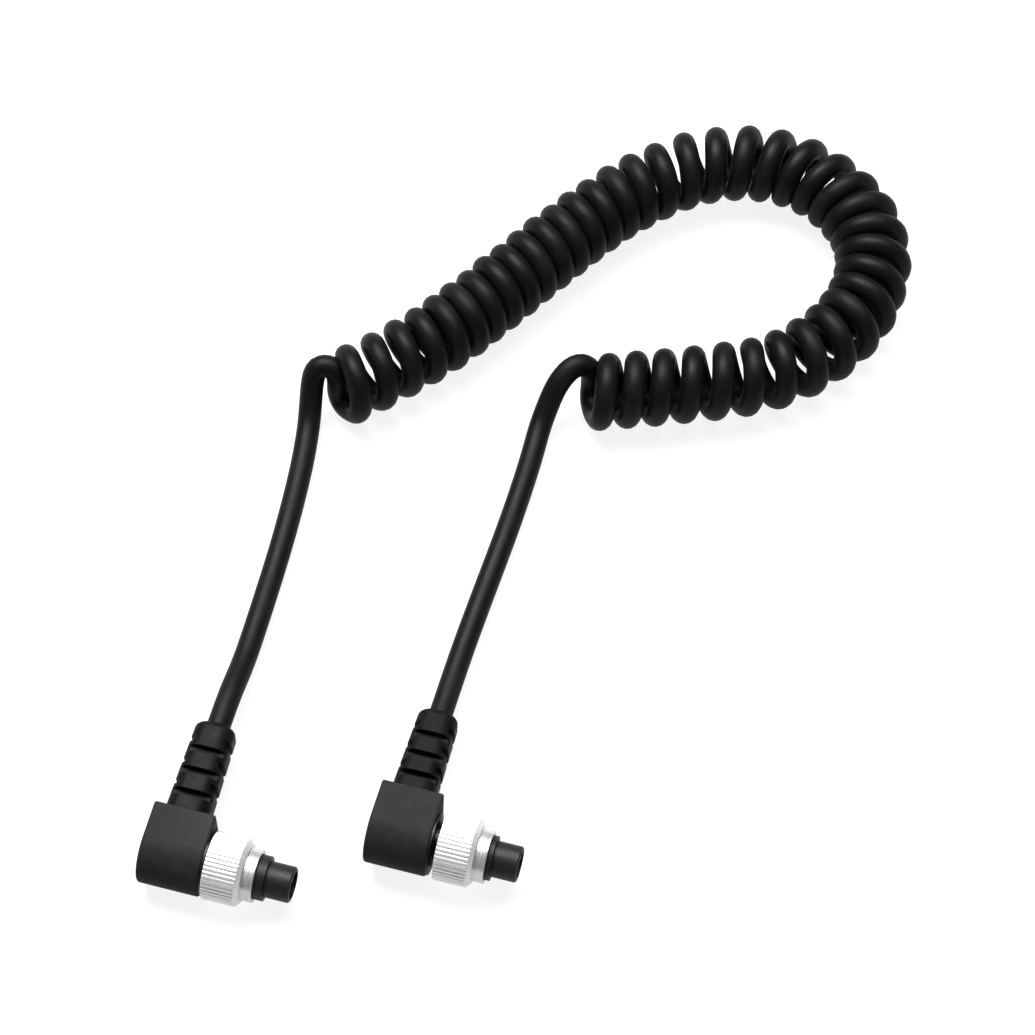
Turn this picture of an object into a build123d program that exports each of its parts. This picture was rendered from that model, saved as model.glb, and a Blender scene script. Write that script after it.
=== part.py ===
from build123d import *

import math
import os
from collections import namedtuple

# A coiled camera cord with a right-angle screw-ring plug on each end.
# Units are millimetres. +Z is up and the floor is Z = 0. Both plugs point along +X, and the cord
# leaves both of them along +Y. The origin is on the floor under the middle of the two plugs.
# Stations along a plug's pin axis and cable axis are measured from the plug's centre. Plug a lies
# on its coupling ring. Plug b is rolled about its pin axis, and lies on its elbow and its boot.

# ---- cord ----
CORD_D = 4.2
COIL_D = 14.5  # outside of the turns
CABLE_X = -0.5  # where the cable axis crosses the pin axis

# ---- elbow housing ----
HOUSING_REAR = 5.6  # from the plug's centre to the back
HOUSING_FRONT = 5.35  # and to the side that the coupling ring is on
HOUSING_R = 5.8  # half of its thickness, and the radius of its round end
HOUSING_REACH = 6.7  # from the pin axis to the face that the boot stands on
HOUSING_WALL = 1.4
HOUSING_EDGE = 0.45  # softening of the outer edges
CAVITY_R = HOUSING_R - HOUSING_WALL
CAVITY_REAR = HOUSING_REAR - HOUSING_WALL
CAVITY_FRONT = HOUSING_FRONT - HOUSING_WALL
CAVITY_REACH = HOUSING_REACH - HOUSING_WALL

# ---- strain relief boot ----
BOOT_END = 24.8  # station of its free end
BOOT_BASE_W = 7.8
BOOT_TIP_W = 7.15
BOOT_CORNER_R = 2.6
BOOT_NOSE_R = 1.4  # rounding of the free end
BOOT_NECK_R = 3.0  # where it passes through the housing wall
BOOT_FLANGE_R = 3.7  # where it is held inside the housing
BOOT_FLANGE_T = 0.8
BOOT_BORE_R = CORD_D / 2 + 0.05
SLOT_W = 1.05
SLOT_FLOOR = 2.5  # from the cable axis to the bottom of a slot
SLOT_PITCH = 4.2
FIRST_SLOT = 10.45  # station of the slots above and below; those at the sides are half a pitch on
SLOT_COUNT = 3

# ---- coupling ring, at its rearmost place ----
RING_R = 5.95
KNURL_DEPTH = 0.3
KNURL_COUNT = 48
RING_REAR = 5.85
RING_FULL_END = 11.6
RING_HEAD_END = 12.4
RING_SHOULDER_R = 5.1
RING_BORE_R = 3.95
NOSE_R = 4.6
NOSE_END = 14.45
NOSE_CHAMFER = 0.25
THREAD_PITCH = 0.5
THREAD_DEPTH = 0.15
THREAD_START = 12.8
THREAD_GROOVES = 3

# ---- retaining ring, in a groove of the coupling ring and around the waist of the barrel ----
CLIP_REAR = 7.3
CLIP_T = 0.5
CLIP_PLAY = 0.1
CLIP_IN_R = 3.25
CLIP_OUT_R = 4.5
CLIP_GAP = 3.0
CLIP_GROOVE_R = CLIP_OUT_R + CLIP_PLAY
RING_TRAVEL = 1.0

# ---- barrel ----
BARREL_REAR = 2.7
BARREL_END = 11.9
BARREL_FLANGE_R = 4.3
BARREL_R = 3.9
BARREL_WAIST_R = 3.15
BARREL_BORE_R = 2.6
WAIST_START = CLIP_REAR - CLIP_PLAY
WAIST_END = CLIP_REAR + CLIP_T + RING_TRAVEL + CLIP_PLAY

# ---- washer behind the coupling ring ----
WASHER_T = 0.3
WASHER_R = 5.45

# ---- insulator, which is the black nose of the plug ----
INSERT_REAR = 3.0
INSERT_STEM_R = BARREL_BORE_R - 0.05
INSERT_FLANGE_END = 16.1
TIP_R = 3.15
TIP_END = 20.6
TIP_BORE_R = 2.45
TIP_DEPTH = 3.8
TIP_CHAMFER = 0.25
KEY_W = 0.9
KEY_H = 0.5

# ---- contacts and wires ----
PIN_R = 0.4
PIN_CIRCLE_R = 1.35
PIN_COUNT = 4
PIN_END = 19.8
CUP_R = 0.55
CUP_REAR = 1.3
WIRE_R = 0.35
WIRE_BEND_R = 0.6
NEAR_WIRE_X = 0.2
FAR_WIRE_X = -1.2

# ---- where the jacket ends inside the housing ----
JACKET_REAR = 3.3
FERRULE_OUT_R = 2.65
FERRULE_END = CAVITY_REACH - BOOT_FLANGE_T

# ---- where the plugs lie ----
PLUG_STEP = (36.2, 13.3)  # from plug a to plug b
PLUG_A_X = (HOUSING_REAR - TIP_END - PLUG_STEP[0]) / 2
PLUG_A_Y = (RING_R - BOOT_END - PLUG_STEP[1]) / 2

# pull is how far the coupling ring lies forward of its rearmost place, and roll is in degrees
Plug = namedtuple("Plug", "name x y z pull roll")
PLUG_A = Plug("a", PLUG_A_X, PLUG_A_Y, RING_R, 0.0, 0.0)
PLUG_B = Plug("b", PLUG_A_X + PLUG_STEP[0], PLUG_A_Y + PLUG_STEP[1], 6.57, 0.8, 7.4)
PLUGS = [PLUG_A, PLUG_B]


def cable_direction(plug):
    roll = math.radians(plug.roll)
    return Vector(0, math.cos(roll), -math.sin(roll))


def on_cable_axis(plug, station):
    return Vector(plug.x + CABLE_X, plug.y, plug.z) + cable_direction(plug) * station


def straight_out(plug, length):
    """The two points of a straight run of cord that starts at the end of the boot."""
    return [tuple(on_cable_axis(plug, BOOT_END + step)) for step in (0, length)]


# ---- route of the cord, from plug a to the coil, along the coil, and from plug b to the coil ----
CORD_Z = CORD_D / 2
COIL_Z = COIL_D / 2
TAIL_A_ROUTE = [
    *straight_out(PLUG_A, 6.6),
    (-26.2, 23.5, 2.7),
    (-26.4, 34.0, CORD_Z),
    (-26.7, 49.0, CORD_Z),
    (-27.7, 63.5, CORD_Z),
    (-29.5, 74.4, 2.7),
    (-30.8, 79.3, 5.5),
    (-28.7, 82.6, COIL_Z),
]
COIL_ROUTE = [
    (-25.1, 78.9, COIL_Z),
    (-12.8, 90.7, COIL_Z),
    (-3.0, 105.9, COIL_Z),
    (6.0, 120.8, COIL_Z),
    (15.7, 134.9, COIL_Z),
    (29.9, 146.6, COIL_Z),
    (47.8, 148.5, COIL_Z),
    (63.1, 137.3, COIL_Z),
    (64.1, 119.6, COIL_Z),
    (53.5, 104.1, COIL_Z),
    (35.9, 96.3, COIL_Z),
    (19.8, 90.5, COIL_Z),
]
TAIL_B_ROUTE = [
    *straight_out(PLUG_B, 7.0),
    (10.3, 37.8, CORD_Z),
    (10.9, 49.0, CORD_Z),
    (11.7, 62.8, CORD_Z),
    (12.0, 75.9, CORD_Z),
    (11.4, 85.6, 2.7),
    (11.5, 90.2, 4.3),
    (13.2, 94.3, 6.6),
    (17.9, 95.3, COIL_Z),
]


def pin_plane(plug, station):
    """A plane across the pin axis: its x is the way the cord leaves."""
    return Plane(origin=(plug.x + station, plug.y, plug.z), x_dir=cable_direction(plug), z_dir=(1, 0, 0))


def cable_plane(plug, station):
    """A plane across the cable axis, facing along it."""
    return Plane(origin=on_cable_axis(plug, station), x_dir=(1, 0, 0), z_dir=cable_direction(plug))


def profile_plane(plug):
    """The upright plane through the pin axis: its x is the station and its y is the radius."""
    return Plane(origin=(plug.x, plug.y, plug.z), x_dir=(1, 0, 0), z_dir=(0, -1, 0))


def pin_axis(plug):
    return Axis((plug.x, plug.y, plug.z), (1, 0, 0))


def cable_axis(plug):
    return Axis(on_cable_axis(plug, 0), cable_direction(plug))


def save(piece, name):
    piece.part.label = name
    export_step(piece.part, f"parts/{name}.step")


def add_arch(radius, reach):
    """The section of the elbow: a round end about the pin axis, with flat sides up to the boot."""
    Circle(radius)
    with Locations((reach / 2, 0)):
        Rectangle(reach, 2 * radius)


def make_elbow_housing(plug):
    with BuildPart() as housing:
        with BuildSketch(pin_plane(plug, -HOUSING_REAR)):
            add_arch(HOUSING_R, HOUSING_REACH)
        extrude(amount=HOUSING_REAR + HOUSING_FRONT)
        top_edges = housing.edges().group_by(cable_axis(plug))[-1]
        fillet(housing.edges().filter_by(GeomType.CIRCLE) + top_edges, HOUSING_EDGE)
        with BuildSketch(pin_plane(plug, -CAVITY_REAR)):
            add_arch(CAVITY_R, CAVITY_REACH)
        extrude(amount=CAVITY_REAR + CAVITY_FRONT, mode=Mode.SUBTRACT)
        with BuildSketch(pin_plane(plug, 0)):
            Circle(BARREL_R)
        extrude(amount=HOUSING_FRONT, mode=Mode.SUBTRACT)
        with BuildSketch(cable_plane(plug, 0)):
            Circle(BOOT_NECK_R)
        extrude(amount=HOUSING_REACH, mode=Mode.SUBTRACT)
    save(housing, f"elbow_housing_{plug.name}")


def make_boot(plug):
    slot_span = BOOT_BASE_W + 2
    slot_depth = slot_span / 2 - SLOT_FLOOR
    slot_centre = SLOT_FLOOR + slot_depth / 2
    with BuildPart() as boot:
        with BuildSketch(cable_plane(plug, HOUSING_REACH)):
            RectangleRounded(BOOT_BASE_W, BOOT_BASE_W, BOOT_CORNER_R)
        with BuildSketch(cable_plane(plug, BOOT_END)):
            RectangleRounded(BOOT_TIP_W, BOOT_TIP_W, BOOT_CORNER_R)
        loft()
        fillet(boot.faces().sort_by(cable_axis(plug))[-1].edges(), BOOT_NOSE_R)
        with BuildSketch(cable_plane(plug, FERRULE_END)):
            Circle(BOOT_NECK_R)
        extrude(amount=HOUSING_REACH - FERRULE_END)
        with BuildSketch(cable_plane(plug, FERRULE_END)):
            Circle(BOOT_FLANGE_R)
        extrude(amount=BOOT_FLANGE_T)
        for row in range(SLOT_COUNT):
            station = FIRST_SLOT + row * SLOT_PITCH
            with BuildSketch(cable_plane(plug, station - SLOT_W / 2)):
                with Locations((0, slot_centre), (0, -slot_centre)):
                    Rectangle(slot_span, slot_depth)
            extrude(amount=SLOT_W, mode=Mode.SUBTRACT)
            with BuildSketch(cable_plane(plug, station + (SLOT_PITCH - SLOT_W) / 2)):
                with Locations((slot_centre, 0), (-slot_centre, 0)):
                    Rectangle(slot_depth, slot_span)
            extrude(amount=SLOT_W, mode=Mode.SUBTRACT)
        with BuildSketch(cable_plane(plug, FERRULE_END)):
            Circle(BOOT_BORE_R)
        extrude(amount=BOOT_END - FERRULE_END, mode=Mode.SUBTRACT)
    save(boot, f"strain_relief_{plug.name}")


def make_barrel(plug):
    with BuildPart() as barrel:
        with BuildSketch(profile_plane(plug)):
            with BuildLine():
                Polyline(
                    (BARREL_REAR, BARREL_BORE_R),
                    (BARREL_REAR, BARREL_FLANGE_R),
                    (CAVITY_FRONT, BARREL_FLANGE_R),
                    (CAVITY_FRONT, BARREL_R),
                    (WAIST_START, BARREL_R),
                    (WAIST_START, BARREL_WAIST_R),
                    (WAIST_END, BARREL_WAIST_R),
                    (WAIST_END, BARREL_R),
                    (BARREL_END, BARREL_R),
                    (BARREL_END, BARREL_BORE_R),
                    close=True,
                )
            make_face()
        revolve(axis=pin_axis(plug))
    save(barrel, f"barrel_{plug.name}")


def make_thrust_washer(plug):
    with BuildPart() as washer:
        with BuildSketch(pin_plane(plug, HOUSING_FRONT)):
            Circle(WASHER_R)
            Circle(BARREL_R, mode=Mode.SUBTRACT)
        extrude(amount=WASHER_T)
    save(washer, f"thrust_washer_{plug.name}")


def knurl_points():
    """The corners of the straight knurl, tip and root in turn."""
    points = []
    for tooth in range(KNURL_COUNT):
        for half, radius in enumerate((RING_R, RING_R - KNURL_DEPTH)):
            angle = (tooth + half / 2) * math.tau / KNURL_COUNT
            points.append((radius * math.cos(angle), radius * math.sin(angle)))
    return points


def make_coupling_ring(plug):
    rear = RING_REAR + plug.pull
    full_end = RING_FULL_END + plug.pull
    head_end = RING_HEAD_END + plug.pull
    nose_end = NOSE_END + plug.pull
    groove_start = CLIP_REAR + plug.pull - CLIP_PLAY
    groove_end = groove_start + CLIP_T + 2 * CLIP_PLAY
    edge = RING_R - KNURL_DEPTH
    with BuildPart() as ring:
        with BuildSketch(pin_plane(plug, rear)):
            with BuildLine():
                Polyline(*knurl_points(), close=True)
            make_face()
        extrude(amount=head_end - rear)
        with BuildSketch(profile_plane(plug)):
            with BuildLine():
                Polyline(
                    (rear, 0),
                    (rear, edge),
                    (rear + KNURL_DEPTH, RING_R),
                    (full_end, RING_R),
                    (head_end, RING_SHOULDER_R),
                    (head_end, 0),
                    close=True,
                )
            make_face()
        revolve(axis=pin_axis(plug), mode=Mode.INTERSECT)
        with BuildSketch(pin_plane(plug, head_end)):
            Circle(NOSE_R)
        extrude(amount=nose_end - head_end)
        chamfer(ring.edges().group_by(Axis.X)[-1], NOSE_CHAMFER)
        for turn in range(THREAD_GROOVES):
            with BuildSketch(pin_plane(plug, THREAD_START + plug.pull + turn * THREAD_PITCH)):
                Circle(NOSE_R + 1)
                Circle(NOSE_R - THREAD_DEPTH, mode=Mode.SUBTRACT)
            extrude(amount=THREAD_PITCH / 2, mode=Mode.SUBTRACT)
        with BuildSketch(pin_plane(plug, rear)):
            Circle(RING_BORE_R)
        extrude(amount=nose_end - rear, mode=Mode.SUBTRACT)
        with BuildSketch(pin_plane(plug, groove_start)):
            Circle(CLIP_GROOVE_R)
        extrude(amount=groove_end - groove_start, mode=Mode.SUBTRACT)
    save(ring, f"coupling_ring_{plug.name}")


def make_retaining_ring(plug):
    with BuildPart() as clip:
        with BuildSketch(pin_plane(plug, CLIP_REAR + plug.pull)):
            Circle(CLIP_OUT_R)
            Circle(CLIP_IN_R, mode=Mode.SUBTRACT)
            with Locations((-CLIP_OUT_R, 0)):
                Rectangle(2 * CLIP_OUT_R, CLIP_GAP, mode=Mode.SUBTRACT)
        extrude(amount=CLIP_T)
    save(clip, f"retaining_ring_{plug.name}")


def make_insulator(plug):
    with BuildPart() as insert:
        with BuildSketch(profile_plane(plug)):
            with BuildLine():
                Polyline(
                    (INSERT_REAR, 0),
                    (INSERT_REAR, INSERT_STEM_R),
                    (BARREL_END, INSERT_STEM_R),
                    (BARREL_END, BARREL_R),
                    (INSERT_FLANGE_END, BARREL_R),
                    (INSERT_FLANGE_END, TIP_R),
                    (TIP_END, TIP_R),
                    (TIP_END, 0),
                    close=True,
                )
            make_face()
        revolve(axis=pin_axis(plug))
        chamfer(insert.edges().group_by(Axis.X)[-1], TIP_CHAMFER)
        with BuildSketch(pin_plane(plug, TIP_END - TIP_DEPTH)):
            Circle(TIP_BORE_R)
            with Locations((0, TIP_BORE_R)):
                Rectangle(KEY_W, 2 * KEY_H, mode=Mode.SUBTRACT)
        extrude(amount=TIP_DEPTH, mode=Mode.SUBTRACT)
        with BuildSketch(pin_plane(plug, INSERT_REAR)):
            with PolarLocations(PIN_CIRCLE_R, PIN_COUNT, start_angle=45):
                Circle(PIN_R)
        extrude(amount=TIP_END - INSERT_REAR, mode=Mode.SUBTRACT)
    save(insert, f"insulator_{plug.name}")


def make_contact_pins(plug):
    with BuildPart() as pins:
        with BuildSketch(pin_plane(plug, CUP_REAR)):
            with PolarLocations(PIN_CIRCLE_R, PIN_COUNT, start_angle=45):
                Circle(CUP_R)
        extrude(amount=INSERT_REAR - CUP_REAR)
        with BuildSketch(pin_plane(plug, INSERT_REAR)):
            with PolarLocations(PIN_CIRCLE_R, PIN_COUNT, start_angle=45):
                Circle(PIN_R)
        extrude(amount=PIN_END - INSERT_REAR)
        chamfer(pins.edges().group_by(Axis.X)[-1], PIN_R / 2)
    save(pins, f"contact_pins_{plug.name}")


def make_wires(plug):
    across = pin_plane(plug, 0).y_dir
    centre = pin_plane(plug, 0).origin
    offset = PIN_CIRCLE_R * math.sin(math.pi / 4)
    with BuildPart() as wires:
        for along, turn_x in ((offset, NEAR_WIRE_X), (-offset, FAR_WIRE_X)):
            for up in (offset, -offset):
                level = centre + across * up
                turn = Vector(turn_x, 0, 0)
                with BuildLine():
                    route = FilletPolyline(
                        level + Vector(CUP_REAR, 0, 0) + cable_direction(plug) * along,
                        level + turn + cable_direction(plug) * along,
                        level + turn + cable_direction(plug) * JACKET_REAR,
                        radius=WIRE_BEND_R,
                    )
                with BuildSketch(Plane(route @ 0, z_dir=route % 0)):
                    Circle(WIRE_R)
                sweep(path=route)
    save(wires, f"wires_{plug.name}")


def make_jacket_end(plug):
    with BuildPart() as jacket:
        with BuildSketch(cable_plane(plug, JACKET_REAR)):
            Circle(CORD_D / 2)
        extrude(amount=BOOT_END - JACKET_REAR)
    save(jacket, f"jacket_end_{plug.name}")


def make_crimp_ferrule(plug):
    with BuildPart() as ferrule:
        with BuildSketch(cable_plane(plug, JACKET_REAR)):
            Circle(FERRULE_OUT_R)
            Circle(CORD_D / 2, mode=Mode.SUBTRACT)
        extrude(amount=FERRULE_END - JACKET_REAR)
    save(ferrule, f"crimp_ferrule_{plug.name}")


def bend_radii(route):
    """Each bend is as large as the shorter of its two runs allows."""
    points = [Vector(*point) for point in route]
    radii = []
    for before, corner, after in zip(points, points[1:], points[2:]):
        shorter = min((corner - before).length, (after - corner).length)
        half_turn = math.radians((corner - before).get_angle(after - corner)) / 2
        radii.append(0.45 * shorter / math.tan(half_turn))
    return radii


def make_cord(route, diameter, name):
    radii = bend_radii(route)
    with BuildPart() as cord:
        with BuildLine():
            path = FilletPolyline(*route, radius=radii)
        with BuildSketch(Plane(path @ 0, z_dir=path % 0)):
            Circle(diameter / 2)
        sweep(path=path)
    expected = math.pi * diameter**2 / 4 * path.length
    print(name, "length", round(path.length, 1), "volume / expected", round(cord.part.volume / expected, 4))
    print("  radii", [round(radius, 1) for radius in radii])
    save(cord, name)


os.makedirs("parts", exist_ok=True)
for each in PLUGS:
    make_elbow_housing(each)
    make_boot(each)
    make_barrel(each)
    make_thrust_washer(each)
    make_coupling_ring(each)
    make_retaining_ring(each)
    make_insulator(each)
    make_contact_pins(each)
    make_wires(each)
    make_jacket_end(each)
    make_crimp_ferrule(each)
make_cord(TAIL_A_ROUTE, CORD_D, "cord_tail_a")
make_cord(COIL_ROUTE, COIL_D, "cord_coil")
make_cord(TAIL_B_ROUTE, CORD_D, "cord_tail_b")
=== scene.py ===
"""The looks of a coiled camera cord with a right-angle screw-ring plug on each end, built around
its CAD model.

Lengths are in metres. +Z is up, the floor is Z = 0, both plugs point along +X and the cord leaves
them along +Y.
"""

import math
import random

import bmesh
import bpy
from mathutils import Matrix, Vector


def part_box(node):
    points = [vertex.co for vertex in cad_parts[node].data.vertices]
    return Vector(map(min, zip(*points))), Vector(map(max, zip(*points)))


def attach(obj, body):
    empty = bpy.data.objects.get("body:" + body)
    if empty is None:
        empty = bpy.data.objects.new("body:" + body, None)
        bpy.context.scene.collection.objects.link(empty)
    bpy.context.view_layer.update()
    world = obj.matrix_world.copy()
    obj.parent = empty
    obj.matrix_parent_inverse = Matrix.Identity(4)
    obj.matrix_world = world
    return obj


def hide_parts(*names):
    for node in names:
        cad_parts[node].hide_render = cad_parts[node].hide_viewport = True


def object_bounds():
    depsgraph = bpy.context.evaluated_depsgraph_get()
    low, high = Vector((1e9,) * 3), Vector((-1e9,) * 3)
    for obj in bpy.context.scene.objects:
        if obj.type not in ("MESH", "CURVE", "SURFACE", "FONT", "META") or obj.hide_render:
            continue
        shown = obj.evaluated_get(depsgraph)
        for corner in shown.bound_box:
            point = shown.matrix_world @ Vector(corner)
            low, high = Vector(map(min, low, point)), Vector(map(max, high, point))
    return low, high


MM = 0.001
UP = Vector((0, 0, 1))
PIN_AXIS = Vector((1, 0, 0))
TINY = 1e-6
PLUG_NAMES = ("a", "b")

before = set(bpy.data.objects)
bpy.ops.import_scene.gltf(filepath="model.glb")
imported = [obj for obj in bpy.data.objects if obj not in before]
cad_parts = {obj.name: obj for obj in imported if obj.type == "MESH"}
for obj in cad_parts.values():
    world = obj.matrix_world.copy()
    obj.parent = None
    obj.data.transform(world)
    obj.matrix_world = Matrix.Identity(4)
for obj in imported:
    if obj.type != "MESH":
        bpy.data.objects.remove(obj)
cad_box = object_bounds()

# ------------------------------------------------------------------ camera

CAMERA_TARGET = Vector((0.0124, 0.06575, 0.0))
CAMERA_DISTANCE = 0.651
CAMERA_AZIMUTH = math.radians(15)
CAMERA_ELEVATION = math.radians(61)
CAMERA_LENS_MM = 125.2
CAMERA_SENSOR_MM = 36
CAMERA_SEES_FROM = 0.05
CAMERA_SEES_TO = 20


def make_camera():
    data = bpy.data.cameras.new("camera")
    data.lens = CAMERA_LENS_MM
    data.sensor_width = CAMERA_SENSOR_MM
    data.clip_start = CAMERA_SEES_FROM
    data.clip_end = CAMERA_SEES_TO
    camera = bpy.data.objects.new("camera", data)
    back = Vector(
        (
            math.sin(CAMERA_AZIMUTH) * math.cos(CAMERA_ELEVATION),
            -math.cos(CAMERA_AZIMUTH) * math.cos(CAMERA_ELEVATION),
            math.sin(CAMERA_ELEVATION),
        )
    )
    camera.location = CAMERA_TARGET + back * CAMERA_DISTANCE
    camera.rotation_euler = (-back).to_track_quat("-Z", "Y").to_euler()
    bpy.context.scene.collection.objects.link(camera)
    bpy.context.scene.camera = camera


# ------------------------------------------------------------------ materials

# The Mix node's sockets for colours, which share their names with its sockets for other types.
MIX_SHARE = 0
MIX_FIRST = 6
MIX_SECOND = 7
MIX_RESULT = 2


class Shader:
    """A material with one Principled shader, and short ways to add the nodes that drive it."""

    def __init__(self, name, colour, roughness, metallic=0.0, specular=0.5):
        self.material = bpy.data.materials.new(name)
        self.material.use_nodes = True
        self.tree = self.material.node_tree
        self.shader = self.tree.nodes["Principled BSDF"]
        self.shader.inputs["Base Color"].default_value = (*colour, 1)
        self.shader.inputs["Roughness"].default_value = roughness
        self.shader.inputs["Metallic"].default_value = metallic
        self.shader.inputs["Specular IOR Level"].default_value = specular
        self.place = self.node("ShaderNodeTexCoord").outputs["Object"]

    def node(self, kind, **values):
        made = self.tree.nodes.new(kind)
        for name, value in values.items():
            setattr(made, name, value)
        return made

    def link(self, output, target):
        self.tree.links.new(output, target)

    def noise(self, size, detail=2.0, roughness=0.5, stretch=(1, 1, 1)):
        """Noise whose features are about size across, and longer along an axis whose stretch is over 1."""
        mapping = self.node("ShaderNodeMapping")
        mapping.inputs["Scale"].default_value = [1 / (size * s) for s in stretch]
        self.link(self.place, mapping.inputs["Vector"])
        texture = self.node("ShaderNodeTexNoise")
        texture.inputs["Scale"].default_value = 1
        texture.inputs["Detail"].default_value = detail
        texture.inputs["Roughness"].default_value = roughness
        self.link(mapping.outputs["Vector"], texture.inputs["Vector"])
        return texture.outputs["Fac"]

    def cells(self, size):
        """The distance to the nearest of points about size apart."""
        mapping = self.node("ShaderNodeMapping")
        mapping.inputs["Scale"].default_value = [1 / size] * 3
        self.link(self.place, mapping.inputs["Vector"])
        texture = self.node("ShaderNodeTexVoronoi")
        texture.inputs["Scale"].default_value = 1
        self.link(mapping.outputs["Vector"], texture.inputs["Vector"])
        return texture.outputs["Distance"]

    def spread(self, value, low, high, to_low, to_high):
        """Value from low to high, mapped to to_low to to_high and held there."""
        made = self.node("ShaderNodeMapRange")
        self.link(value, made.inputs["Value"])
        for name, number in (("From Min", low), ("From Max", high), ("To Min", to_low), ("To Max", to_high)):
            made.inputs[name].default_value = number
        return made.outputs["Result"]

    def mixed(self, share, first, second):
        """Two colours mixed by share, which is an output. A colour is an output or three numbers."""
        made = self.node("ShaderNodeMix", data_type="RGBA")
        self.link(share, made.inputs[MIX_SHARE])
        for place, given in ((MIX_FIRST, first), (MIX_SECOND, second)):
            if isinstance(given, bpy.types.NodeSocket):
                self.link(given, made.inputs[place])
            else:
                made.inputs[place].default_value = (*given, 1)
        return made.outputs[MIX_RESULT]

    def edges(self, low, high):
        """From 0 to 1 as the mesh's pointiness goes from low to high. It is about 0.5 on a flat
        face, more on an outer edge and less in a groove."""
        geometry = self.node("ShaderNodeNewGeometry")
        return self.spread(geometry.outputs["Pointiness"], low, high, 0, 1)

    def colour(self, output):
        self.link(output, self.shader.inputs["Base Color"])

    def roughness(self, output):
        self.link(output, self.shader.inputs["Roughness"])

    def bump(self, *layers):
        """Layers are (height, depth in metres), the coarsest first."""
        normal = None
        for height, depth in layers:
            made = self.node("ShaderNodeBump")
            made.inputs["Distance"].default_value = depth
            self.link(height, made.inputs["Height"])
            if normal is not None:
                self.link(normal, made.inputs["Normal"])
            normal = made.outputs["Normal"]
        self.link(normal, self.shader.inputs["Normal"])


def black_vinyl():
    """The cord's jacket: semi-matte, faintly uneven, with rubbed patches that are a little paler
    and rougher."""
    s = Shader("cord_vinyl", (0.012, 0.012, 0.0122), 0.48, specular=0.2)
    patches = s.noise(9 * MM, detail=3)
    rubbed = s.spread(patches, 0.52, 0.68, 0, 1)
    s.colour(s.mixed(rubbed, (0.009, 0.009, 0.0092), (0.0145, 0.0145, 0.0148)))
    s.roughness(s.spread(patches, 0.35, 0.7, 0.42, 0.54))
    s.bump((s.noise(1.6 * MM, detail=2), 0.03 * MM), (s.noise(0.25 * MM, detail=3), 0.012 * MM))
    return s.material


def moulded_plastic():
    """The elbow: black nylon from a spark-eroded mould, with a fine grain and paler rubbed edges."""
    s = Shader("elbow_moulded", (0.034, 0.0345, 0.0345), 0.62, specular=0.1)
    mottle = s.noise(1.8 * MM, detail=4, roughness=0.6)
    worn = s.edges(0.52, 0.6)
    body = s.mixed(s.spread(mottle, 0.4, 0.65, 0, 1), (0.031, 0.0315, 0.0315), (0.04, 0.0405, 0.0405))
    s.colour(s.mixed(worn, body, (0.046, 0.0465, 0.0465)))
    s.roughness(s.spread(mottle, 0.35, 0.7, 0.56, 0.68))
    s.bump((s.noise(0.5 * MM, detail=2), 0.01 * MM), (s.cells(0.22 * MM), 0.012 * MM))
    return s.material


def boot_rubber():
    """The strain relief: softer and a little shinier than the elbow."""
    s = Shader("boot_moulded_rubber", (0.0085, 0.0087, 0.0087), 0.5, specular=0.13)
    mottle = s.noise(2.2 * MM, detail=3)
    s.colour(s.mixed(s.spread(mottle, 0.42, 0.62, 0, 1), (0.007, 0.0072, 0.0072), (0.01, 0.0102, 0.0102)))
    s.roughness(s.spread(mottle, 0.35, 0.7, 0.44, 0.56))
    s.bump((s.noise(0.7 * MM, detail=2), 0.015 * MM), (s.noise(0.15 * MM, detail=2), 0.008 * MM))
    return s.material


def ring_anodised():
    """The knurled head of the coupling ring: blasted and clear-anodised, nearly white, and a
    little greyer in the knurl's roots, where shade is painted into the colour."""
    s = Shader("ring_anodised", (0.75, 0.75, 0.755), 0.5, metallic=0.6)
    grain = s.noise(0.1 * MM, detail=2)
    tone = s.noise(2.5 * MM, detail=3)
    # Painted shade: the colour turns a little greyer in the knurl's grooves, where shade falls.
    root = s.edges(0.5, 0.42)
    body = s.mixed(s.spread(tone, 0.35, 0.65, 0, 1), (0.73, 0.73, 0.735), (0.78, 0.78, 0.785))
    s.colour(s.mixed(root, body, (0.71, 0.71, 0.715)))
    s.roughness(s.spread(grain, 0.35, 0.65, 0.45, 0.55))
    s.bump((grain, 0.003 * MM))
    return s.material


def ring_turned():
    """The nose of the coupling ring: turned after the anodising, with fine marks round its axis."""
    s = Shader("ring_turned", (0.63, 0.63, 0.64), 0.34, metallic=0.65)
    marks = s.noise(0.12 * MM, detail=2, stretch=(1, 40, 40))
    s.colour(s.mixed(s.spread(marks, 0.35, 0.65, 0, 1), (0.56, 0.56, 0.57), (0.7, 0.7, 0.705)))
    s.roughness(s.spread(marks, 0.35, 0.65, 0.26, 0.4))
    s.bump((marks, 0.004 * MM))
    return s.material


def insert_plastic():
    """The black nose: half-gloss moulded plastic with faint scuffs."""
    s = Shader("insert_moulded", (0.025, 0.025, 0.0255), 0.48, specular=0.35)
    scuffs = s.noise(0.8 * MM, detail=5, roughness=0.65, stretch=(3, 1, 1))
    s.colour(s.mixed(s.spread(scuffs, 0.55, 0.75, 0, 1), (0.021, 0.021, 0.0215), (0.034, 0.034, 0.0345)))
    s.roughness(s.spread(scuffs, 0.35, 0.7, 0.42, 0.56))
    s.bump((scuffs, 0.006 * MM))
    return s.material


def plain_metal(name, colour, roughness, grain):
    """A plated or bare metal piece, with a fine uneven polish."""
    s = Shader(name, colour, roughness, metallic=1.0)
    polish = s.noise(grain, detail=3)
    darker = [c * 0.8 for c in colour]
    s.colour(s.mixed(s.spread(polish, 0.35, 0.65, 0, 1), darker, colour))
    s.roughness(s.spread(polish, 0.3, 0.7, roughness * 0.8, roughness * 1.25))
    s.bump((polish, 0.003 * MM))
    return s.material


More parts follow.
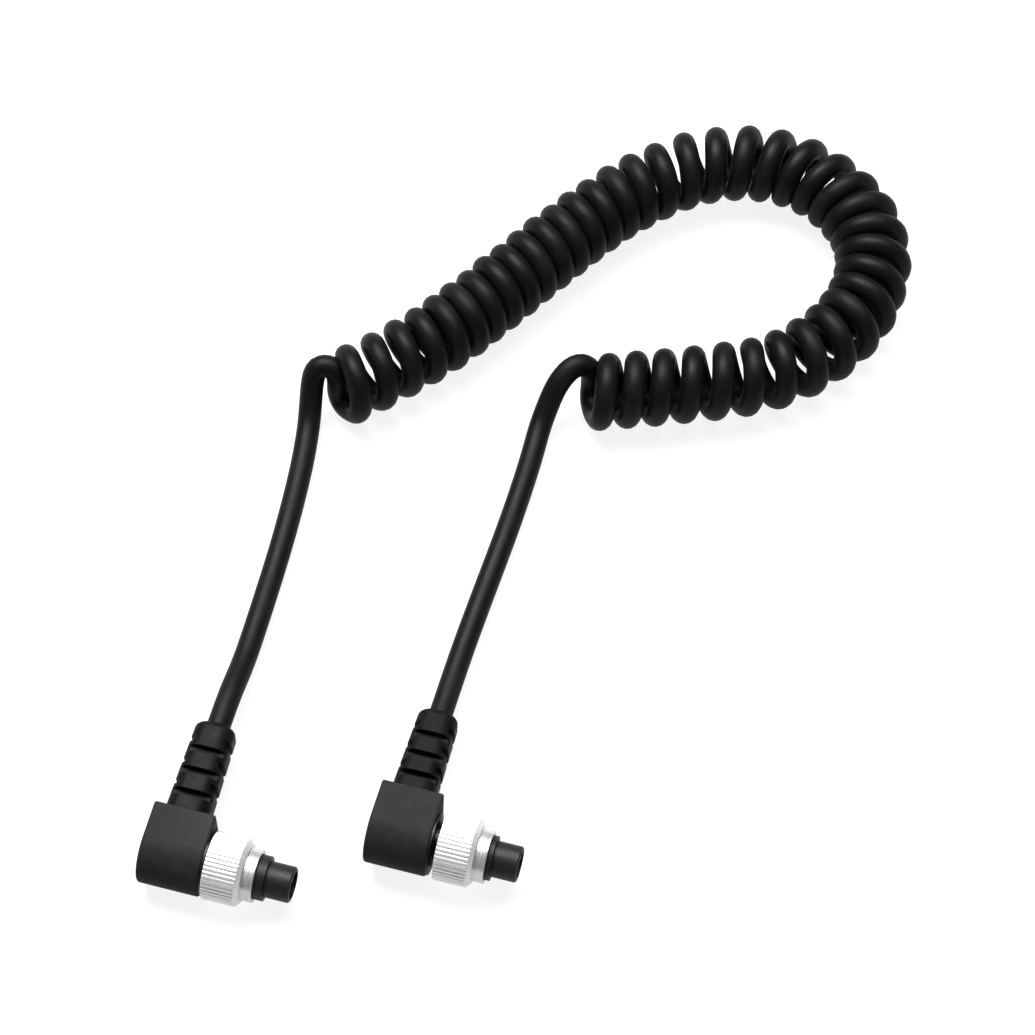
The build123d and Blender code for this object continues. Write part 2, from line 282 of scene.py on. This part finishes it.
def plain_plastic(name, colour, roughness, grain):
    """A small moulded or extruded piece."""
    s = Shader(name, colour, roughness)
    uneven = s.noise(grain, detail=3)
    darker = [c * 0.75 for c in colour]
    s.colour(s.mixed(s.spread(uneven, 0.35, 0.65, 0, 1), darker, colour))
    s.roughness(s.spread(uneven, 0.3, 0.7, roughness * 0.85, roughness * 1.15))
    s.bump((uneven, 0.005 * MM))
    return s.material


def wire_sleeves():
    """The red sleeves of the wires inside the plug."""
    s = Shader("wire_sleeves", (0.5, 0.07, 0.05), 0.4)
    tone = s.noise(0.6 * MM)
    s.colour(s.mixed(s.spread(tone, 0.35, 0.65, 0, 1), (0.4, 0.05, 0.04), (0.55, 0.08, 0.06)))
    s.bump((tone, 0.004 * MM))
    return s.material


def paint(obj, material):
    """Gives the object this material and no other."""
    obj.data.materials.clear()
    obj.data.materials.append(material)


# ------------------------------------------------------------------ mesh tools


def add_object(name, data, body):
    """An object that rides on a body of the CAD model."""
    obj = bpy.data.objects.new(name, data)
    bpy.context.scene.collection.objects.link(obj)
    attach(obj, body)
    return obj


CORNER_STEPS = 3
LONGEST_CORNER = 0.45  # of the side that the corner takes from


def softened(outline, radius):
    """A closed outline with each corner rounded by an arc, as small as its shorter side needs."""
    points = []
    for i, (x, y) in enumerate(outline):
        corner = Vector((x, y))
        before = Vector(outline[i - 1]) - corner
        after = Vector(outline[(i + 1) % len(outline)]) - corner
        half = before.angle(after) / 2
        shorter = min(before.length, after.length)
        back = min(radius / math.tan(half), LONGEST_CORNER * shorter)
        start = corner + before.normalized() * back
        end = corner + after.normalized() * back
        for step in range(CORNER_STEPS + 1):
            t = step / CORNER_STEPS
            points.append(tuple(start.lerp(corner, t).lerp(corner.lerp(end, t), t)))
    return points


def lathe(centre, axis, outline, segments, radius_at):
    """A closed mesh round an axis that isn't upright: outline is a closed loop of (station, radius),
    and radius_at(station, radius, angle) gives the true radius there."""
    side = axis.cross(UP).normalized()
    up = side.cross(axis).normalized()
    mesh = bmesh.new()
    rings = []
    for station, radius in outline:
        ring = []
        for k in range(segments):
            angle = math.tau * k / segments
            true_radius = radius_at(station, radius, angle)
            out = side * math.cos(angle) + up * math.sin(angle)
            ring.append(mesh.verts.new(centre + axis * station + out * true_radius))
        rings.append(ring)
    for i, ring in enumerate(rings):
        after = rings[(i + 1) % len(rings)]
        for k in range(segments):
            n = (k + 1) % segments
            mesh.faces.new((ring[k], ring[n], after[n], after[k]))
    bmesh.ops.recalc_face_normals(mesh, faces=mesh.faces)
    return mesh


def to_mesh(name, mesh, sharp_degrees=30):
    """The finished mesh, smooth but for edges sharper than the given angle."""
    data = bpy.data.meshes.new(name)
    mesh.to_mesh(data)
    mesh.free()
    data.shade_smooth()
    data.set_sharp_from_angle(angle=math.radians(sharp_degrees))
    return data


# ------------------------------------------------------------------ plugs

PLUG_ROLL = {"a": 0.0, "b": math.radians(7.4)}  # about the pin axis


def pin_axis_point(plug):
    """Where the axis of the cord's end crosses the pin axis."""
    low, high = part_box(f"insulator_{plug}")
    cord_low, cord_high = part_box(f"jacket_end_{plug}")
    middle = (low + high) / 2
    return Vector(((cord_low.x + cord_high.x) / 2, middle.y, middle.z))


def cable_direction(plug):
    """The way that the cord leaves the plug."""
    roll = PLUG_ROLL[plug]
    return Vector((0, math.cos(roll), -math.sin(roll)))


# coupling ring
POINTS_PER_TOOTH = 10
KNURL_COUNT = 48
KNURL_DEPTH = 0.11 * MM
RING_R = 5.95 * MM
KNURL_FLAT = 0.4  # the share of each tooth that is its crest
HEAD_LENGTH = 6.55 * MM
HEAD_FRONT_CHAMFER = 0.8 * MM
SHOULDER_R = 5.1 * MM
NOSE_R = 4.6 * MM
THREAD_PITCH = 0.5 * MM
THREAD_DEPTH = 0.03 * MM
THREAD_MARGIN = 0.35 * MM
THREAD_STEP = 0.06 * MM
HEAD_STEPS = 4
LONG_RUN = 1 * MM  # a run on the ring's outside that is longer than this is cut into steps
RING_BORE_R = 3.95 * MM
RING_EDGE_R = 0.12 * MM
RING_SHARP_DEGREES = 40
NEAR = 0.2 * MM  # how close a radius is to a surface that it belongs to


def knurl(angle):
    """The radius of the ring's head at that angle: flat crests with V grooves between them."""
    place = (angle * KNURL_COUNT / math.tau) % 1
    from_crest = min(place, 1 - place) * 2
    return RING_R - KNURL_DEPTH * max(0, (from_crest - KNURL_FLAT) / (1 - KNURL_FLAT))


def make_ring(plug, head_material, nose_material):
    low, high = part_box(f"coupling_ring_{plug}")
    centre = pin_axis_point(plug)
    rear = low.x - centre.x
    front = high.x - centre.x
    head_end = rear + HEAD_LENGTH
    thread_start = head_end + THREAD_MARGIN
    thread_end = front - THREAD_MARGIN
    profile = softened(
        [
            (rear, RING_BORE_R),
            (rear, RING_R - KNURL_DEPTH),
            (rear + KNURL_DEPTH, RING_R),
            (head_end - HEAD_FRONT_CHAMFER, RING_R),
            (head_end, SHOULDER_R),
            (head_end, NOSE_R),
            (front, NOSE_R),
            (front, RING_BORE_R),
        ],
        RING_EDGE_R,
    )
    outline = []
    for i, (station, radius) in enumerate(profile):
        outline.append((station, radius))
        next_station = profile[(i + 1) % len(profile)][0]
        gap = next_station - station
        if gap > LONG_RUN and radius > NOSE_R - NEAR:
            steps = math.ceil(gap / THREAD_STEP) if radius < SHOULDER_R else HEAD_STEPS
            outline += [(station + gap * k / steps, radius) for k in range(1, steps)]

    def radius_at(station, radius, angle):
        if radius > SHOULDER_R - NEAR and station <= head_end:
            return min(radius, knurl(angle))
        if radius > RING_BORE_R + NEAR and thread_start < station < thread_end:
            turn = (station / THREAD_PITCH + angle / math.tau) % 1
            from_end = min(station - thread_start, thread_end - station)
            fade = min(1, from_end / THREAD_PITCH)
            return radius - THREAD_DEPTH * fade * (1 - abs(2 * turn - 1))
        return radius

    mesh = lathe(centre, PIN_AXIS, outline, KNURL_COUNT * POINTS_PER_TOOTH, radius_at)
    name = f"knurled_ring_{plug}"
    ring = add_object(name, to_mesh(name, mesh, RING_SHARP_DEGREES), f"ring_{plug}")
    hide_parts(f"coupling_ring_{plug}")
    paint(ring, head_material)
    ring.data.materials.append(nose_material)
    for face in ring.data.polygons:
        if face.center.x > centre.x + head_end:
            face.material_index = 1


# strain relief
BOOT_INNER = 4.5 * MM  # stations from the pin axis
BOOT_BASE = 6.7 * MM
BOOT_END = 24.8 * MM
BOOT_BASE_HALF = 3.9 * MM
BOOT_TIP_HALF = 3.575 * MM
BOOT_CORNER_R = 2.6 * MM
BOOT_NOSE_R = 1.4 * MM
BOOT_BORE_R = 2.13 * MM
BOOT_NECK_R = 3.0 * MM
BOOT_FLANGE_R = 3.7 * MM
BOOT_FLANGE_T = 0.8 * MM
SLOT_W = 1.05 * MM
SLOT_EDGE = 0.22 * MM
SLOT_FLOOR = 2.5 * MM
SLOT_PITCH = 4.2 * MM
FIRST_SLOT = 10.45 * MM
SLOT_COUNT = 3
BOOT_ROW = 0.055 * MM
BOOT_SEGMENTS = 128
BOOT_NOSE_STEPS = 8
BOOT_SHARP_DEGREES = 50
OUTER = 1.0  # stands for the radius of the square outside, and what is over it is an inset


def square_radius(half, corner, angle):
    """How far the edge of a rounded square lies from its centre, in that direction."""
    c, s = abs(math.cos(angle)), abs(math.sin(angle))
    c, s = max(c, s), min(c, s)
    flat = half - corner
    if half * s / c <= flat:
        return half / c
    # Beyond the flat side, the direction meets the arc of the corner.
    return flat * (c + s) + math.sqrt(max(0, (flat * (c + s)) ** 2 - 2 * flat**2 + corner**2))


def slot_depth(station, first):
    """From 0 outside the slots to 1 at their middle, with rounded lips."""
    deepest = 0
    for row in range(SLOT_COUNT):
        away = abs(station - first - row * SLOT_PITCH)
        t = (SLOT_W / 2 + SLOT_EDGE / 2 - away) / SLOT_EDGE
        t = max(0, min(1, t))
        deepest = max(deepest, t * t * (3 - 2 * t))
    return deepest


def make_boot(plug, material):
    def half_at(station):
        share = (station - BOOT_BASE) / (BOOT_END - BOOT_BASE)
        return BOOT_BASE_HALF + (BOOT_TIP_HALF - BOOT_BASE_HALF) * share

    def radius_at(station, radius, angle):
        if radius < OUTER:  # bore, neck and flange are round
            return radius
        inset = radius - OUTER
        outside = square_radius(half_at(station) - inset, BOOT_CORNER_R, angle)
        above = min(outside, SLOT_FLOOR / max(abs(math.sin(angle)), TINY))
        beside = min(outside, SLOT_FLOOR / max(abs(math.cos(angle)), TINY))
        cut = slot_depth(station, FIRST_SLOT) * (outside - above)
        cut += slot_depth(station, FIRST_SLOT + SLOT_PITCH / 2) * (outside - beside)
        return outside - cut

    outline = [
        (BOOT_INNER, BOOT_BORE_R),
        (BOOT_INNER, BOOT_FLANGE_R),
        (BOOT_INNER + BOOT_FLANGE_T, BOOT_FLANGE_R),
        (BOOT_INNER + BOOT_FLANGE_T, BOOT_NECK_R),
        (BOOT_BASE, BOOT_NECK_R),
    ]
    straight_end = BOOT_END - BOOT_NOSE_R
    length = straight_end - BOOT_BASE
    rows = math.ceil(length / BOOT_ROW)
    outline += [(BOOT_BASE + length * k / rows, OUTER) for k in range(rows)]
    for k in range(BOOT_NOSE_STEPS + 1):
        turn = math.pi / 2 * k / BOOT_NOSE_STEPS
        inset = BOOT_NOSE_R * (1 - math.cos(turn))
        outline.append((straight_end + BOOT_NOSE_R * math.sin(turn), OUTER + inset))
    outline.append((BOOT_END, BOOT_BORE_R))
    centre = pin_axis_point(plug)
    mesh = lathe(centre, cable_direction(plug), outline, BOOT_SEGMENTS, radius_at)
    name = f"slotted_boot_{plug}"
    boot = add_object(name, to_mesh(name, mesh, BOOT_SHARP_DEGREES), "root")
    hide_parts(f"strain_relief_{plug}")
    paint(boot, material)


# ------------------------------------------------------------------ cord

CORD_D = 4.2 * MM
COIL_R = 5.15 * MM  # from the coil's axis to the middle of the cord
COIL_TURNS = 39.5
POINTS_PER_TURN = 16
# How far apart the turns lie, at shares of the way along the coil. Only the proportions count.
TURN_SPACING = (
    (0.0, 5.5),
    (0.05, 5.4),
    (0.1, 4.75),
    (0.14, 4.3),
    (0.32, 4.3),
    (0.36, 4.75),
    (0.4, 5.3),
    (0.46, 5.5),
    (0.55, 5.15),
    (0.6, 4.9),
    (0.69, 4.75),
    (0.76, 5.5),
    (0.88, 5.8),
    (0.94, 5.1),
    (1.0, 5.0),
)
UNEVEN_SPACING = 0.03
UNEVEN_RADIUS = 0.2 * MM
UNEVENNESS_SEED = 7
FIRST_COIL_POINT = 6  # the tails' hooks take the place of the points before it and after the last
LAST_COIL_POINT = round(COIL_TURNS * POINTS_PER_TURN) - 4
COIL_AXIS_RESOLUTION = 32
CORD_RESOLUTION = 3
CORD_ROUNDNESS = 6

TAIL_A_ROUTE = [
    (-0.0261, 0.008725, 0.00595),
    (-0.0261, 0.015325, 0.00595),
    (-0.0262, 0.0235, 0.0027),
    (-0.0264, 0.0340, 0.0021),
    (-0.0267, 0.0490, 0.0021),
    (-0.0277, 0.0635, 0.0021),
    (-0.0288, 0.0720, 0.0026),
    (-0.0294, 0.0756, 0.0042),
    (-0.0300, 0.0794, 0.0078),
    (-0.0296, 0.0811, 0.0098),
    (-0.0279, 0.0818, 0.0103),
    (-0.0261, 0.0816, 0.0098),
    (-0.0254, 0.0809, 0.0081),
    (-0.0255, 0.0806, 0.0054),
    (-0.0252, 0.0801, 0.0033),
    (-0.0240, 0.0790, 0.0022),
]
COIL_ROUTE = [
    (-0.0255, 0.0785, 0.00725),
    (-0.0128, 0.0907, 0.00725),
    (-0.0030, 0.1059, 0.00725),
    (0.0060, 0.1208, 0.00725),
    (0.0157, 0.1349, 0.00725),
    (0.0299, 0.1466, 0.00725),
    (0.0478, 0.1485, 0.00725),
    (0.0631, 0.1373, 0.00725),
    (0.0641, 0.1196, 0.00725),
    (0.0535, 0.1041, 0.00725),
    (0.0359, 0.0963, 0.00725),
    (0.0188, 0.0902, 0.00725),
]
TAIL_B_ROUTE = [
    (0.0101, 0.021818, 0.003376),
    (0.0101, 0.028760, 0.002474),
    (0.0103, 0.0378, 0.0021),
    (0.0109, 0.0490, 0.0021),
    (0.0117, 0.0628, 0.0021),
    (0.0120, 0.0759, 0.0021),
    (0.0118, 0.0832, 0.0026),
    (0.0123, 0.0867, 0.0045),
    (0.0131, 0.0896, 0.0074),
    (0.0145, 0.0920, 0.0096),
    (0.0161, 0.0938, 0.0102),
    (0.0178, 0.0947, 0.0091),
    (0.0188, 0.0948, 0.0066),
    (0.0190, 0.0940, 0.0040),
    (0.0192, 0.0924, 0.0025),
]


def spline_mesh(route, resolution, radius=0):
    """The mesh of the smooth line that has the route's points as its control points, or of a
    tube along it."""
    data = bpy.data.curves.new("line", "CURVE")
    data.dimensions = "3D"
    data.resolution_u = resolution
    data.bevel_depth = radius
    data.bevel_resolution = CORD_ROUNDNESS
    data.use_fill_caps = True
    spline = data.splines.new("NURBS")
    spline.points.add(len(route) - 1)
    for point, place in zip(spline.points, route):
        point.co = (*place, 1)
    spline.order_u = 3  # quadratic
    spline.use_endpoint_u = True
    holder = bpy.data.objects.new("line", data)
    mesh = bpy.data.meshes.new_from_object(holder)
    bpy.data.objects.remove(holder)
    bpy.data.curves.remove(data)
    return mesh


def line_of(route, resolution):
    """The points of the route's smooth line."""
    mesh = spline_mesh(route, resolution)
    line = [v.co.copy() for v in mesh.vertices]
    bpy.data.meshes.remove(mesh)
    return line


def interpolated(stops, x):
    """The value at x of the straight lines through the stops, which are (x, value)."""
    for (x0, y0), (x1, y1) in zip(stops, stops[1:]):
        if x <= x1:
            return y0 + (y1 - y0) * (x - x0) / (x1 - x0)
    return stops[-1][1]


def value_at_turn(values, turn):
    """The values belong to the whole turns, and pass evenly from each to the next."""
    whole_turns = int(turn)
    return values[whole_turns] * (1 - turn % 1) + values[whole_turns + 1] * (turn % 1)


def coil_points():
    """The control points of the turns, which start on the left of the coil's axis, and pass under
    it to the right."""
    chance = random.Random(UNEVENNESS_SEED)
    line = line_of(COIL_ROUTE, COIL_AXIS_RESOLUTION)
    lengths = [0.0]
    for before, after in zip(line, line[1:]):
        lengths.append(lengths[-1] + (after - before).length)
    whole = lengths[-1]
    drift = [chance.uniform(-1, 1) for _ in range(math.ceil(COIL_TURNS) + 2)]
    turned = [0.0]
    for i in range(1, len(line)):
        middle = (lengths[i] + lengths[i - 1]) / 2 / whole
        wobble = value_at_turn(drift, middle * COIL_TURNS)
        spacing = interpolated(TURN_SPACING, middle) * (1 + UNEVEN_SPACING * wobble)
        turned.append(turned[-1] + (lengths[i] - lengths[i - 1]) / spacing)
    scale = COIL_TURNS / turned[-1]
    sizes = [chance.uniform(-UNEVEN_RADIUS, 0) for _ in range(math.ceil(COIL_TURNS) + 2)]
    # Halfway along a span, a quadratic line is 1/8, 6/8 and 1/8 of three control points. So round a
    # circle it runs at this share of their distance from the axis.
    cut_in = (6 + 2 * math.cos(math.tau / POINTS_PER_TURN)) / 8
    points = []
    i = 0
    for k in range(FIRST_COIL_POINT, LAST_COIL_POINT + 1):
        turn = k / POINTS_PER_TURN
        while i < len(line) - 2 and turned[i + 1] * scale < turn:
            i += 1
        t = (turn / scale - turned[i]) / (turned[i + 1] - turned[i])
        along = (line[i + 1] - line[i]).normalized()
        right = along.cross(UP)
        size = COIL_R + value_at_turn(sizes, turn)
        centre = line[i].lerp(line[i + 1], t)
        centre.z = size + CORD_D / 2
        angle = math.tau * turn
        out = -right * math.cos(angle) - UP * math.sin(angle)
        points.append(centre + out * size / cut_in)
    return points


def make_cord(material):
    route = [Vector(p) for p in TAIL_A_ROUTE]
    route += coil_points()
    route += [Vector(p) for p in reversed(TAIL_B_ROUTE)]
    jacket = spline_mesh(route, CORD_RESOLUTION, CORD_D / 2)
    jacket.name = "coiled_cord"
    jacket.shade_smooth()
    cord = add_object("coiled_cord", jacket, "root")
    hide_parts("cord_tail_a", "cord_coil", "cord_tail_b")
    line_of(route, CORD_RESOLUTION)
    paint(cord, material)


# ------------------------------------------------------------------ stage

FLOOR_HALF = 4
FLOOR_GLOW = 0.88
WORLD_GLOW = 0.2
VIEW_GAMMA = 0.82
# Each lamp's name, its place from the object's middle, its width and its power in watts.
LAMPS = (
    ("key", Vector((-0.4, 0.35, 0.95)), 0.7, 17),
    ("overhead", Vector((0.1, 0.45, 1.05)), 0.9, 10.5),
)


def make_floor():
    """A pale light table, whose glow leaves only faint shadows."""
    mesh = bmesh.new()
    bmesh.ops.create_grid(mesh, x_segments=1, y_segments=1, size=FLOOR_HALF)
    floor = bpy.data.objects.new("floor", to_mesh("floor", mesh))
    bpy.context.scene.collection.objects.link(floor)
    s = Shader("light_table", (0.15, 0.15, 0.15), 0.7, specular=0.2)
    s.colour(s.mixed(s.noise(0.3, detail=3), (0.147, 0.147, 0.147), (0.153, 0.153, 0.153)))
    s.shader.inputs["Emission Color"].default_value = (1, 1, 1, 1)
    s.shader.inputs["Emission Strength"].default_value = FLOOR_GLOW
    paint(floor, s.material)


def add_softbox(name, place, target, width, watts):
    """A round lamp that faces the target."""
    data = bpy.data.lights.new(name, "AREA")
    data.shape = "DISK"
    data.size = width
    data.energy = watts
    light = bpy.data.objects.new(name, data)
    light.location = place
    light.rotation_euler = (target - place).to_track_quat("-Z", "Y").to_euler()
    bpy.context.scene.collection.objects.link(light)


def make_lights():
    middle = (cad_box[0] + cad_box[1]) / 2
    for name, offset, width, watts in LAMPS:
        add_softbox(name, middle + offset, middle, width, watts)
    world = bpy.data.worlds.new("studio")
    world.use_nodes = True
    background = world.node_tree.nodes["Background"]
    background.inputs["Color"].default_value = (1, 1, 1, 1)
    background.inputs["Strength"].default_value = WORLD_GLOW
    bpy.context.scene.world = world
    view = bpy.context.scene.view_settings
    view.view_transform = "Standard"
    view.gamma = VIEW_GAMMA


# ------------------------------------------------------------------ putting it together

make_camera()
make_floor()
make_lights()

vinyl = black_vinyl()
elbow = moulded_plastic()
rubber = boot_rubber()
anodised = ring_anodised()
turned = ring_turned()
insert = insert_plastic()
brass = plain_metal("ferrule_brass", (0.75, 0.6, 0.35), 0.35, 0.8 * MM)
gold = plain_metal("contact_gold", (0.9, 0.68, 0.3), 0.2, 0.3 * MM)
# The barrel is near-black metal, which keeps the gap between washer and ring dark.
near_black_barrel = plain_metal("barrel_near_black", (0.03, 0.03, 0.032), 0.35, 0.6 * MM)
steel = plain_metal("clip_steel", (0.5, 0.5, 0.52), 0.35, 0.4 * MM)
nylon = plain_plastic("washer_nylon", (0.012, 0.012, 0.012), 0.45, 0.5 * MM)
sleeves = wire_sleeves()

make_cord(vinyl)
for plug in PLUG_NAMES:
    make_ring(plug, anodised, turned)
    make_boot(plug, rubber)
    for node, material in (
        ("elbow_housing", elbow),
        ("barrel", near_black_barrel),
        ("thrust_washer", nylon),
        ("retaining_ring", steel),
        ("insulator", insert),
        ("contact_pins", gold),
        ("wires", sleeves),
        ("jacket_end", vinyl),
        ("crimp_ferrule", brass),
    ):
        paint(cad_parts[f"{node}_{plug}"], material)
